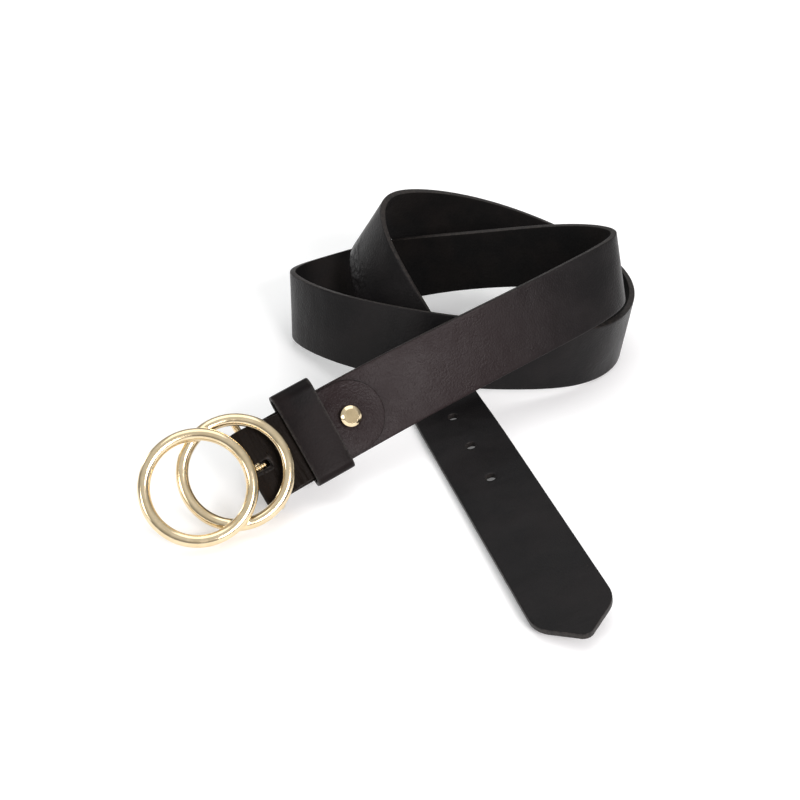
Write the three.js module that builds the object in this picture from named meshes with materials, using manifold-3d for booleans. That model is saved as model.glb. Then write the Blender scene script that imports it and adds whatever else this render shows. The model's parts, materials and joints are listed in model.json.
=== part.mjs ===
// A leather belt with a double-ring buckle, loosely coiled and standing on its edge.
// Millimetres, +Z up. The origin is the middle of the belt's footprint, on the surface it rests on.
import * as THREE from "three";
import { mergeVertices } from "three/addons/utils/BufferGeometryUtils.js";
import Module from "manifold-3d";

const wasm = await Module();
wasm.setup();

// Strap
const STRAP_WIDTH = 32;
const STRAP_THICKNESS = 2.8;
const STRAP_LENGTH = 1010.5; // from the fold at the buckle to the tip
const EDGE_CHAMFER = 0.4;
const TIP_SLANT = 53; // degrees between the strap's length and each side of its point
const TIP_RADIUS = 4;
const SHOULDER_RADIUS = 10;

// Coil
const COIL_WIDTH = 150;
const COIL_DEPTH = 96;

// Holes for the prong
const HOLE_DIAMETER = 4.5;
const HOLE_COUNT = 5;
const HOLE_PITCH = 23;
const LAST_HOLE_TO_TIP = 93.5;

// Fold round the buckle's bar and the flap that comes back over the front
const FOLD_THICKNESS = 2.0;
const FLAP_THICKNESS = 1.8;
const FLAP_EDGE_THICKNESS = 1.0;
const FLAP_INSET = 1.0; // each side of the flap lies this far inside the strap's edge
const LAYER_GAP = 0.3;
const SLOT_WIDTH = 4.4;
const SLOT_DEPTH = 8; // from the fold line

// Keeper loop
const KEEPER_WIDTH = 17;
const KEEPER_THICKNESS = 1.8;
const KEEPER_TO_FOLD = 22.1;
const KEEPER_ROOM = 0.4; // over and under the leather
const KEEPER_ROOM_LOWER_EDGE = 1.1;
const KEEPER_ROOM_UPPER_EDGE = 4.5;
const KEEPER_LOWER_RADIUS = 1.5;
const KEEPER_UPPER_RADIUS = 2.5;

// Stud
const STUD_TO_FOLD = 46.9;
const STUD_DIAMETER = 8.8;
const STUD_FACET_DIAMETER = 6;
const STUD_HEIGHT = 3;
const STUD_BEVEL = 1.1;
const STUD_POST_DIAMETER = 3;
const STUD_BACK_DIAMETER = 8;
const STUD_BACK_THICKNESS = 1;
const STUD_HOLE_ROOM = 0.6;

// Double-ring buckle
const RING_ROOM = 4.5; // the ring's opening is this much wider than the strap
const WIRE_DIAMETER = 5;
const RING_SPACING = 15.7;
const RING_LAYER = 3.4; // the front ring lies this far in front of the rear ring
const RING_OFFSET = 1.6; // and this far nearer the upper edge
const RING_BEYOND_FOLD = 4.8; // from the fold line to the middle of the rear ring
const RING_SLIDE = 2; // the buckle has slid this far towards the upper edge
const BAR_DIAMETER = 3;
const BAR_ROOM = 0.3;
const LUG_DIAMETER = 3.3;
const LUG_ROOM = 0.3;

// Prong
const PRONG_DIAMETER = 1.9;
const PRONG_REACH = 6.6;
const PRONG_RISE = 2.2;
const PRONG_LOOP_WALL = 1.0;
const PRONG_LOOP_WIDTH = 3.2;

// The coil's middle line: a row for each stretch or bend, from the fold to the straight tail.
// x is a share of COIL_WIDTH, y of COIL_DEPTH and z of STRAP_WIDTH; lean is in degrees from upright.
const COIL_ROWS = [
  { place: "fold at the buckle", x: -0.406, y: -0.74, z: 0.43, lean: -47 },
  { place: "over the tail", x: -0.051, y: -0.436, z: 0.952, lean: -34 },
  { place: "over the front run", x: 0.29, y: -0.155, z: 1.37, lean: -23 },
  { place: "into the inner right bend", x: 0.593, y: 0.13, z: 1.66, lean: -29 },
  { place: "inner right bend", x: 0.695, y: 0.361, z: 1.63, lean: -9 },
  { place: "out of the inner right bend", x: 0.57, y: 0.56, z: 1.42, lean: 3 },
  { place: "inner rear run", x: 0.315, y: 0.741, z: 1.062, lean: -11 },
  { place: "inner rear run, lower", x: 0.014, y: 0.895, z: 0.662, lean: -1 },
  { place: "into the left bend", x: -0.18, y: 0.865, z: 0.43, lean: 35 },
  { place: "left bend", x: -0.324, y: 0.69, z: 0.48, lean: 21 },
  { place: "out of the left bend", x: -0.366, y: 0.561, z: 0.588, lean: -10 },
  { place: "front run", x: -0.221, y: 0.222, z: 0.79, lean: -15 },
  { place: "front run over the tail", x: 0.092, y: -0.036, z: 0.902, lean: -27 },
  { place: "front run, lower", x: 0.368, y: 0.006, z: 0.706, lean: -5 },
  { place: "into the outer right bend", x: 0.589, y: 0.069, z: 0.537, lean: 12 },
  { place: "outer right bend", x: 0.75, y: 0.413, z: 0.474, lean: 2 },
  { place: "out of the outer right bend", x: 0.67, y: 0.84, z: 0.55, lean: 20 },
  { place: "outer rear run", x: 0.32, y: 1.08, z: 1.044, lean: 5 },
  { place: "outer rear run, rising", x: 0.025, y: 1.03, z: 1.466, lean: -15 },
  { place: "top left bend", x: -0.115, y: 0.865, z: 1.61, lean: -37 },
  { place: "down from the top left bend", x: -0.105, y: 0.593, z: 1.29, lean: -20 },
  { place: "under the front run", x: 0.031, y: 0.284, z: 0.428, lean: -39 },
  { place: "onto the surface", x: 0.1, y: 0.08, z: 0.055, lean: -88 },
  { place: "tail", x: 0.164, y: -0.26, z: 0.148, lean: -78 },
  { place: "straight tail", x: 0.246, y: -0.66, z: 0.163, lean: -78.3 },
];

// Fineness
const SAMPLES_PER_ROW = 32;
const TURN_PER_SECTION = 5; // degrees
const LONGEST_SECTION = 12;
const ROUND_SIDES = 48;
const WIRE_SIDES = 12;
const SMALL_SIDES = 20;
const END_STEPS = 7;
const KEEPER_STEPS = 5;

const UP = new THREE.Vector3(0, 0, 1);
const toRadians = THREE.MathUtils.degToRad;

// Places worked out from the sizes. In the strap's own coordinates s runs along it from the fold line,
// v across it towards the upper edge, and w out of its front, from the middle of its thickness.
const HALF_WIDTH = STRAP_WIDTH / 2;
const HALF_THICKNESS = STRAP_THICKNESS / 2;
const BAR_RADIUS = BAR_DIAMETER / 2;
const FOLD_RADIUS = BAR_RADIUS + BAR_ROOM + HALF_THICKNESS;
const BAR_S = FOLD_RADIUS + HALF_THICKNESS;
const BAR_W = FOLD_RADIUS;
const FLAP_HALF_WIDTH = HALF_WIDTH - FLAP_INSET;
const FLAP_W = HALF_THICKNESS + LAYER_GAP + FLAP_THICKNESS / 2;
const FLAP_FACE_W = FLAP_W + FLAP_THICKNESS / 2;
const FOLD_FACE_W = BAR_W + BAR_RADIUS + BAR_ROOM + FOLD_THICKNESS;
const WIRE_RADIUS = WIRE_DIAMETER / 2;
const RING_RADIUS = (STRAP_WIDTH + RING_ROOM) / 2 + WIRE_RADIUS;
const REAR_RING_W = FOLD_FACE_W + LAYER_GAP + WIRE_RADIUS;

/** Value of a uniform cubic B-spline through the rows at t, which runs straight on past both ends. */
function splineValue(values, t) {
  const last = values.length - 1;
  const row = Math.min(Math.max(Math.floor(t), 0), last - 1);
  const f = t - row;
  const weights = [(1 - f) ** 3, 3 * f ** 3 - 6 * f ** 2 + 4, -3 * f ** 3 + 3 * f ** 2 + 3 * f + 1, f ** 3];
  return weights.reduce((sum, weight, i) => sum + (weight / 6) * rowValue(values, row - 1 + i), 0);
}

/** A row's value, with one more row at each end in line with the last two. */
function rowValue(values, i) {
  const last = values.length - 1;
  if (i < 0) return 2 * values[0] - values[1];
  if (i > last) return 2 * values[last] - values[last - 1];
  return values[i];
}

/** The way the strap takes: its middle line and how its width stands, by distance from the fold line. */
class StrapPath {
  constructor(rows) {
    this.columns = {
      x: rows.map((row) => row.x * COIL_WIDTH),
      y: rows.map((row) => row.y * COIL_DEPTH),
      z: rows.map((row) => row.z * STRAP_WIDTH),
      lean: rows.map((row) => toRadians(row.lean)),
    };
    this.lastRow = rows.length - 1;
    this.step = 1 / SAMPLES_PER_ROW;
    this.distances = [0];
    const samples = this.lastRow * SAMPLES_PER_ROW;
    for (let i = 1; i <= samples; i++) {
      const stretch = this.pointAt(i * this.step).distanceTo(this.pointAt((i - 1) * this.step));
      this.distances.push(this.distances[i - 1] + stretch);
    }
    this.length = this.distances[samples];
  }

  pointAt(t) {
    const { x, y, z } = this.columns;
    return new THREE.Vector3(splineValue(x, t), splineValue(y, t), splineValue(z, t));
  }

  /** Row parameter at a distance along the path. */
  rowAt(s) {
    const { distances, step } = this;
    let low = 0;
    let high = distances.length - 1;
    while (high - low > 1) {
      const middle = (low + high) >> 1;
      if (distances[middle] > s) high = middle;
      else low = middle;
    }
    return (low + (s - distances[low]) / (distances[high] - distances[low])) * step;
  }

  /** Point, direction, width direction and front normal at s, straight on before the fold and after the rows. */
  frameAt(s) {
    const inside = THREE.MathUtils.clamp(s, 0, this.length);
    const t = this.rowAt(inside);
    const half = this.step / 2;
    const from = THREE.MathUtils.clamp(t - half, 0, this.lastRow);
    const to = THREE.MathUtils.clamp(t + half, 0, this.lastRow);
    const along = this.pointAt(to).sub(this.pointAt(from)).normalize();
    const upright = UP.clone().addScaledVector(along, -UP.dot(along)).normalize();
    const sideways = along.clone().cross(upright);
    const lean = splineValue(this.columns.lean, t);
    const across = upright.multiplyScalar(Math.cos(lean)).addScaledVector(sideways, Math.sin(lean));
    const out = along.clone().cross(across);
    const point = this.pointAt(t).addScaledVector(along, s - inside);
    return { point, along, across, out };
  }

  /** Point of space for strap coordinates. */
  place(s, v, w) {
    const { point, across, out } = this.frameAt(s);
    return point.addScaledVector(across, v).addScaledVector(out, w);
  }

  /** Distances between two limits, close where the strap turns and wide where it runs straight. */
  sections(from, to) {
    const list = [from];
    let frame = this.frameAt(from);
    for (let s = from + 1; s < to - 1; s += 1) {
      const next = this.frameAt(s);
      const turned = Math.max(frame.along.angleTo(next.along), frame.out.angleTo(next.out));
      if (turned > toRadians(TURN_PER_SECTION) || s - list[list.length - 1] > LONGEST_SECTION) {
        list.push(s);
        frame = next;
      }
    }
    list.push(to);
    return list;
  }
}

const path = new StrapPath(COIL_ROWS);

/** Matrix that takes x, y, z to s, v, w directions at one place on the strap. */
function seat(s, v, w) {
  const { along, across, out } = path.frameAt(s);
  return new THREE.Matrix4().makeBasis(along, across, out).setPosition(path.place(s, v, w));
}

/** A plain geometry of positions with shared vertices merged. */
function bare(geometry) {
  const positions = new THREE.BufferGeometry();
  positions.setAttribute("position", geometry.getAttribute("position").clone());
  if (geometry.index) positions.setIndex(geometry.index.clone());
  return mergeVertices(positions, 1e-4);
}

function toSolid(geometry) {
  const merged = bare(geometry);
  const mesh = new wasm.Mesh({
    numProp: 3,
    vertProperties: Float32Array.from(merged.getAttribute("position").array),
    triVerts: Uint32Array.from(merged.index.array),
  });
  return new wasm.Manifold(mesh);
}

function toGeometry(solid) {
  const mesh = solid.getMesh();
  const geometry = new THREE.BufferGeometry();
  geometry.setAttribute("position", new THREE.BufferAttribute(mesh.vertProperties, 3));
  geometry.setIndex(new THREE.BufferAttribute(mesh.triVerts, 1));
  geometry.computeVertexNormals();
  return geometry;
}

const join = (solids) => solids.reduce((whole, solid) => whole.add(solid));
const cut = (solid, tools) => tools.reduce((rest, tool) => rest.subtract(tool), solid);

/** Skins a row of closed sections, each a list of points of space in the same order, and caps both ends. */
function skin(sections) {
  const count = sections[0].length;
  const positions = sections.flat().flatMap((point) => [point.x, point.y, point.z]);
  const triangles = [];
  for (let row = 0; row + 1 < sections.length; row++) {
    for (let i = 0; i < count; i++) {
      const a = row * count + i;
      const b = row * count + ((i + 1) % count);
      triangles.push(a, b, b + count, a, b + count, a + count);
    }
  }
  const lastStart = (sections.length - 1) * count;
  for (let i = 1; i + 1 < count; i++) {
    triangles.push(0, i + 1, i);
    triangles.push(lastStart, lastStart + i, lastStart + i + 1);
  }
  const geometry = new THREE.BufferGeometry();
  geometry.setAttribute("position", new THREE.Float32BufferAttribute(positions, 3));
  geometry.setIndex(triangles);
  return geometry;
}

/** Half widths of the strap's point against the distance from its end: round end, straight slants, round shoulders. */
function tipOutline() {
  const slant = toRadians(TIP_SLANT);
  const roundEnd = Math.PI / 2 - slant;
  const outline = [];
  for (let i = 1; i <= END_STEPS; i++) {
    const angle = (roundEnd * i) / END_STEPS;
    outline.push({ back: TIP_RADIUS * (1 - Math.cos(angle)), half: TIP_RADIUS * Math.sin(angle) });
  }
  const start = outline[outline.length - 1];
  const shoulderHalf = HALF_WIDTH - SHOULDER_RADIUS * (1 - Math.cos(slant));
  const slantEnd = start.back + (shoulderHalf - start.half) / Math.tan(slant);
  const shoulderStart = slantEnd + SHOULDER_RADIUS * Math.sin(slant);
  for (let i = 0; i <= END_STEPS; i++) {
    const angle = slant * (1 - i / END_STEPS);
    outline.push({
      back: shoulderStart - SHOULDER_RADIUS * Math.sin(angle),
      half: HALF_WIDTH - SHOULDER_RADIUS * (1 - Math.cos(angle)),
    });
  }
  return outline;
}

/** Stations of the leather from the flap's round end to the fold: place, direction, thickness and half width. */
function flapStations() {
  const stations = [];
  const flat = { ds: -1, dw: 0 };
  for (let i = 1; i < END_STEPS; i++) {
    const angle = (Math.PI / 2) * (i / END_STEPS);
    const s = STUD_TO_FOLD + FLAP_HALF_WIDTH * Math.cos(angle);
    const thickness = THREE.MathUtils.lerp(FLAP_EDGE_THICKNESS, FLAP_THICKNESS, i / END_STEPS);
    const w = HALF_THICKNESS + LAYER_GAP + thickness / 2;
    stations.push({ s, w, ...flat, thickness, half: FLAP_HALF_WIDTH * Math.sin(angle) });
  }
  for (const s of path.sections(KEEPER_TO_FOLD, STUD_TO_FOLD).reverse()) {
    stations.push({ s, w: FLAP_W, ...flat, thickness: FLAP_THICKNESS, half: FLAP_HALF_WIDTH });
  }
  const top = BAR_W + BAR_RADIUS + BAR_ROOM + FOLD_THICKNESS / 2;
  const rise = KEEPER_TO_FOLD - BAR_S;
  for (let i = 1; i < END_STEPS; i++) {
    const share = i / END_STEPS;
    const ease = (1 - Math.cos(Math.PI * share)) / 2;
    const slope = ((top - FLAP_W) * Math.PI * Math.sin(Math.PI * share)) / (2 * rise);
    stations.push({
      s: KEEPER_TO_FOLD - rise * share,
      w: THREE.MathUtils.lerp(FLAP_W, top, ease),
      ds: -Math.cos(Math.atan(slope)),
      dw: Math.sin(Math.atan(slope)),
      thickness: THREE.MathUtils.lerp(FLAP_THICKNESS, FOLD_THICKNESS, ease),
      half: THREE.MathUtils.lerp(FLAP_HALF_WIDTH, HALF_WIDTH, ease),
    });
  }
  return stations;
}

/** Stations round the bar, from the front of the fold to the strap's body. */
function foldStations() {
  const stations = [];
  const steps = 2 * END_STEPS;
  for (let i = 0; i <= steps; i++) {
    const angle = Math.PI / 2 + (Math.PI * i) / steps;
    const thickness = THREE.MathUtils.lerp(FOLD_THICKNESS, STRAP_THICKNESS, Math.min(1, (2 * i) / steps));
    const radius = BAR_RADIUS + BAR_ROOM + thickness / 2;
    stations.push({
      s: BAR_S + radius * Math.cos(angle),
      w: BAR_W + radius * Math.sin(angle),
      ds: -Math.sin(angle),
      dw: Math.cos(angle),
      thickness,
      half: HALF_WIDTH,
    });
  }
  return stations;
}

/** Stations of the strap's body from the fold to the end of its point. */
function bodyStations() {
  const tip = tipOutline();
  const shoulder = STRAP_LENGTH - tip[tip.length - 1].back;
  const body = path.sections(BAR_S, shoulder).slice(1, -1).map((s) => ({ s, half: HALF_WIDTH }));
  const point = tip.reverse().map(({ back, half }) => ({ s: STRAP_LENGTH - back, half }));
  return [...body, ...point].map((station) => ({ ...station, w: 0, ds: 1, dw: 0, thickness: STRAP_THICKNESS }));
}

/** The eight corners of the leather at a station, chamfered along both edges. */
function leatherSection({ s, w, ds, dw, thickness, half }) {
  const deep = thickness / 2;
  const chamfer = Math.min(EDGE_CHAMFER, deep / 2, half / 2);
  const corners = [
    [half - chamfer, -deep],
    [half, chamfer - deep],
    [half, deep - chamfer],
    [half - chamfer, deep],
  ];
  const mirrored = corners.map(([v, depth]) => [-v, depth]).reverse();
  return [...corners, ...mirrored].map(([v, depth]) => path.place(s - dw * depth, v, w + ds * depth));
}

/** Box for the slot, which is open through both layers of the fold. */
function slotTool() {
  const low = -BAR_ROOM - EDGE_CHAMFER;
  const height = FOLD_FACE_W + STRAP_THICKNESS * 2;
  const box = new THREE.BoxGeometry(SLOT_DEPTH - low, SLOT_WIDTH, height);
  box.translate((SLOT_DEPTH + low) / 2 - BAR_S, 0, height / 2 - STRAP_THICKNESS - BAR_W);
  return toSolid(box.applyMatrix4(seat(BAR_S, 0, BAR_W)));
}

/** Round tool through the leather at a place on the strap. */
function punch(s, diameter) {
  const depth = 2 * FOLD_FACE_W;
  const tool = new THREE.CylinderGeometry(diameter / 2, diameter / 2, depth, SMALL_SIDES);
  tool.rotateX(Math.PI / 2);
  return toSolid(tool.applyMatrix4(seat(s, 0, 0)));
}

function makeStrap() {
  const stations = [...flapStations(), ...foldStations(), ...bodyStations()];
  const leather = toSolid(skin(stations.map(leatherSection)));
  const holes = Array.from({ length: HOLE_COUNT }, (_, i) =>
    punch(STRAP_LENGTH - LAST_HOLE_TO_TIP - i * HOLE_PITCH, HOLE_DIAMETER),
  );
  const studHole = punch(STUD_TO_FOLD, STUD_POST_DIAMETER + STUD_HOLE_ROOM);
  return toGeometry(cut(leather, [slotTool(), studHole, ...holes]));
}

/** Closed outline with a round corner radius for its lower and its upper end, in v and w. */
function loopOutline({ vMin, vMax, wMin, wMax, lowerRadius, upperRadius }) {
  const corners = [
    { v: vMax - upperRadius, w: wMin + upperRadius, radius: upperRadius, start: -90 },
    { v: vMax - upperRadius, w: wMax - upperRadius, radius: upperRadius, start: 0 },
    { v: vMin + lowerRadius, w: wMax - lowerRadius, radius: lowerRadius, start: 90 },
    { v: vMin + lowerRadius, w: wMin + lowerRadius, radius: lowerRadius, start: 180 },
  ];
  return corners.flatMap(({ v, w, radius, start }) =>
    Array.from({ length: END_STEPS }, (_, i) => {
      const angle = toRadians(start + (90 * i) / (END_STEPS - 1));
      return [v + radius * Math.cos(angle), w + radius * Math.sin(angle)];
    }),
  );
}

function makeKeeper() {
  const opening = {
    vMin: -HALF_WIDTH - KEEPER_ROOM_LOWER_EDGE,
    vMax: HALF_WIDTH + KEEPER_ROOM_UPPER_EDGE,
    wMin: -HALF_THICKNESS - KEEPER_ROOM,
    wMax: FLAP_FACE_W + KEEPER_ROOM,
    lowerRadius: KEEPER_LOWER_RADIUS,
    upperRadius: KEEPER_UPPER_RADIUS,
  };
  const outside = {
    vMin: opening.vMin - KEEPER_THICKNESS,
    vMax: opening.vMax + KEEPER_THICKNESS,
    wMin: opening.wMin - KEEPER_THICKNESS,
    wMax: opening.wMax + KEEPER_THICKNESS,
    lowerRadius: opening.lowerRadius + KEEPER_THICKNESS,
    upperRadius: opening.upperRadius + KEEPER_THICKNESS,
  };
  const sweep = (outline, overrun) => {
    const from = KEEPER_TO_FOLD - overrun;
    const length = KEEPER_WIDTH + 2 * overrun;
    const rows = Array.from({ length: KEEPER_STEPS + 1 }, (_, i) => from + (length * i) / KEEPER_STEPS);
    return toSolid(skin(rows.map((s) => outline.map(([v, w]) => path.place(s, v, w)))));
  };
  const band = sweep(loopOutline(outside), 0);
  return toGeometry(band.subtract(sweep(loopOutline(opening), 1)));
}

/** Round stud with a flat facet, its post through the leather and its disc behind. */
function makeStud() {
  const back = -HALF_THICKNESS - LAYER_GAP;
  const front = FLAP_FACE_W + LAYER_GAP;
  const profile = [
    [0, back - STUD_BACK_THICKNESS],
    [STUD_BACK_DIAMETER / 2, back - STUD_BACK_THICKNESS],
    [STUD_BACK_DIAMETER / 2, back],
    [STUD_POST_DIAMETER / 2, back],
    [STUD_POST_DIAMETER / 2, front],
    [STUD_DIAMETER / 2, front],
    [STUD_DIAMETER / 2, front + STUD_HEIGHT - STUD_BEVEL],
    [STUD_FACET_DIAMETER / 2, front + STUD_HEIGHT],
    [0, front + STUD_HEIGHT],
  ].map(([radius, height]) => new THREE.Vector2(radius, height));
  const stud = new THREE.LatheGeometry(profile, 2 * SMALL_SIDES);
  stud.rotateX(Math.PI / 2);
  return bare(stud.applyMatrix4(seat(STUD_TO_FOLD, 0, 0)));
}

/** Cylinder between two places given by s, v and w from the bar's seat. */
function rod(from, to, radius, sides) {
  const direction = to.clone().sub(from);
  const geometry = new THREE.CylinderGeometry(radius, radius, direction.length(), sides);
  const turn = new THREE.Quaternion().setFromUnitVectors(new THREE.Vector3(0, 1, 0), direction.clone().normalize());
  geometry.applyQuaternion(turn);
  const middle = from.clone().add(to).multiplyScalar(0.5);
  return geometry.translate(middle.x, middle.y, middle.z);
}

const atBar = seat(BAR_S, 0, BAR_W);

/** Both rings, the bar in the fold and the two lugs that carry it, cast as one. */
function makeDoubleRingFrame() {
  const ring = (s, v, w) =>
    new THREE.TorusGeometry(RING_RADIUS, WIRE_RADIUS, WIRE_SIDES, ROUND_SIDES).translate(s - BAR_S, v, w - BAR_W);
  const lugRadius = LUG_DIAMETER / 2;
  const lugV = HALF_WIDTH + LUG_ROOM + RING_SLIDE + lugRadius;
  const place = (side, height) => new THREE.Vector3(0, RING_SLIDE + side * lugV, height);
  const pieces = [
    ring(-RING_BEYOND_FOLD, RING_SLIDE, REAR_RING_W),
    ring(-RING_BEYOND_FOLD - RING_SPACING, RING_SLIDE + RING_OFFSET, REAR_RING_W + RING_LAYER),
    rod(place(-1, 0), place(1, 0), BAR_RADIUS, SMALL_SIDES),
    ...[-1, 1].map((side) => rod(place(side, -lugRadius), place(side, REAR_RING_W - BAR_W), lugRadius, SMALL_SIDES)),
  ];
  return toGeometry(join(pieces.map((piece) => toSolid(piece.applyMatrix4(atBar)))));
}

/** Pin on a loop round the bar; it comes out of the slot and lies behind the front ring's near side. */
function makeProng() {
  const loopInside = BAR_RADIUS + BAR_ROOM;
  const loopOutside = loopInside + PRONG_LOOP_WALL;
  const across = (length) => [new THREE.Vector3(0, -length / 2, 0), new THREE.Vector3(0, length / 2, 0)];
  const loop = rod(...across(PRONG_LOOP_WIDTH), loopOutside, SMALL_SIDES);
  const bore = rod(...across(2 * PRONG_LOOP_WIDTH), loopInside, SMALL_SIDES);
  const pinW = loopOutside - PRONG_DIAMETER / 4;
  const root = new THREE.Vector3(0, 0, pinW);
  const tip = new THREE.Vector3(-PRONG_REACH, 0, pinW + PRONG_RISE);
  const pin = rod(root, tip, PRONG_DIAMETER / 2, WIRE_SIDES);
  const end = new THREE.SphereGeometry(PRONG_DIAMETER / 2, WIRE_SIDES, WIRE_SIDES / 2).translate(tip.x, tip.y, tip.z);
  const [loopSolid, boreSolid, pinSolid, endSolid] = [loop, bore, pin, end].map((piece) => toSolid(piece.applyMatrix4(atBar)));
  return toGeometry(join([loopSolid, pinSolid, endSolid]).subtract(boreSolid));
}

const leatherBlack = new THREE.MeshStandardMaterial({ color: 0x191818, roughness: 0.5, metalness: 0 });
const paleGold = new THREE.MeshStandardMaterial({ color: 0xd9bd7c, roughness: 0.2, metalness: 1 });

function named(name, geometry, material) {
  const mesh = new THREE.Mesh(geometry, material);
  mesh.name = name;
  return mesh;
}

const belt = new THREE.Group();
belt.name = "double_ring_belt";
belt.add(
  named("strap", makeStrap(), leatherBlack),
  named("keeper", makeKeeper(), leatherBlack),
  named("stud", makeStud(), paleGold),
  named("double_ring_frame", makeDoubleRingFrame(), paleGold),
  named("prong", makeProng(), paleGold),
);

// The footprint's middle comes to the origin and the lowest point to the surface.
const extent = new THREE.Box3().setFromObject(belt, true);
const footprint = extent.getCenter(new THREE.Vector3());
belt.position.set(-footprint.x, -footprint.y, -extent.min.z);
belt.updateMatrixWorld(true);

export default belt;
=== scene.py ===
"""Looks of a black leather belt with a double-ring buckle, loosely coiled and standing on its edge.

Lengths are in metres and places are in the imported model's frame. The strap, keeper, stud, rings and
prong are modelled flat or upright first, and then laid along the way that the strap takes.
"""

import json
import logging
import math
from collections import Counter
from collections.abc import Callable, Sequence
from dataclasses import dataclass, field
from enum import Enum
from typing import Any, NamedTuple

import bmesh
import bpy
import numpy as np
from mathutils import Matrix, Vector

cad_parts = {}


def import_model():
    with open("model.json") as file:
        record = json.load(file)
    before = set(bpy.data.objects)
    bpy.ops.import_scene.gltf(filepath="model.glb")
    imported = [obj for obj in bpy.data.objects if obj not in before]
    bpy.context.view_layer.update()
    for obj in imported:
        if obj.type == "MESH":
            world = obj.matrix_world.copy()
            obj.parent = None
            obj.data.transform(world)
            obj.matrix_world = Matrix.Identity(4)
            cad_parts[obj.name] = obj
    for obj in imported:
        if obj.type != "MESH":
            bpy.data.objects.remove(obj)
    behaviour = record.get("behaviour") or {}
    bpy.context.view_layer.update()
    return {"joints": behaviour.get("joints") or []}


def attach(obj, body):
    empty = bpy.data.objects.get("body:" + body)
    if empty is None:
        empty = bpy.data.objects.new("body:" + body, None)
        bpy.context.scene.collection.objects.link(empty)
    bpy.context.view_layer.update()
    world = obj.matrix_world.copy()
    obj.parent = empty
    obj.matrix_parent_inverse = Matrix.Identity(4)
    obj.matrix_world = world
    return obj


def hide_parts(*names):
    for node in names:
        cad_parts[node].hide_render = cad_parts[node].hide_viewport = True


LOG = logging.getLogger("belt")
MM = 0.001
TOUCHING = 0.001 * MM
SHARP_EDGE = math.radians(50)
PLAN = "plan"
RIM = "rim"
BEND = "bend"
RUMPLE = "rumple"
# Marks the warmer, lighter tone near the buckle: partly handled leather, partly a painted warm sheen.
SHEEN_AND_HANDLING = "sheen_and_handling"
Rgba = tuple[float, float, float, float]


class CoilRow(NamedTuple):
    """One stretch or bend of the coil's middle line: shares of the coil's sizes, and lean in degrees."""

    place: str
    x: float
    y: float
    z: float
    lean: float


COIL_ROWS = (
    CoilRow("fold at the buckle", -0.406, -0.740, 0.430, -47),
    CoilRow("over the tail", -0.051, -0.436, 0.952, -34),
    CoilRow("over the front run", 0.290, -0.155, 1.370, -23),
    CoilRow("into the inner right bend", 0.593, 0.130, 1.660, -29),
    CoilRow("inner right bend", 0.695, 0.361, 1.630, -9),
    CoilRow("out of the inner right bend", 0.570, 0.560, 1.432, 3),
    CoilRow("inner rear run", 0.315, 0.741, 1.085, -11),
    CoilRow("inner rear run, lower", 0.014, 0.895, 0.686, -1),
    CoilRow("into the left bend", -0.180, 0.865, 0.430, 35),
    CoilRow("left bend", -0.324, 0.690, 0.480, 21),
    CoilRow("out of the left bend", -0.366, 0.561, 0.588, -10),
    CoilRow("front run", -0.221, 0.222, 0.790, -15),
    CoilRow("front run over the tail", 0.092, -0.036, 0.902, -27),
    CoilRow("front run, lower", 0.368, 0.006, 0.706, -5),
    CoilRow("into the outer right bend", 0.589, 0.069, 0.537, 12),
    CoilRow("outer right bend", 0.750, 0.413, 0.474, 2),
    CoilRow("out of the outer right bend", 0.670, 0.840, 0.550, 20),
    CoilRow("outer rear run", 0.320, 1.080, 1.044, 5),
    CoilRow("outer rear run, rising", 0.025, 1.030, 1.424, -15),
    CoilRow("top left bend", -0.115, 0.865, 1.610, -37),
    CoilRow("down from the top left bend", -0.105, 0.593, 1.290, -20),
    CoilRow("under the front run", 0.031, 0.284, 0.428, -39),
    CoilRow("onto the surface", 0.100, 0.080, 0.055, -88),
    CoilRow("tail", 0.164, -0.260, 0.148, -78),
    CoilRow("straight tail", 0.246, -0.660, 0.163, -78.3),
)


def smooth_step(value: np.ndarray, low: float, high: float) -> np.ndarray:
    """Returns 0 at low and beyond it, 1 at high and beyond it, and a smooth rise between them."""
    share = np.clip((value - low) / (high - low), 0.0, 1.0)
    return share * share * (3.0 - 2.0 * share)


def unit(vectors: np.ndarray) -> np.ndarray:
    """Returns the vectors, one in each row, at length 1."""
    return vectors / np.linalg.norm(vectors, axis=-1, keepdims=True)


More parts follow.
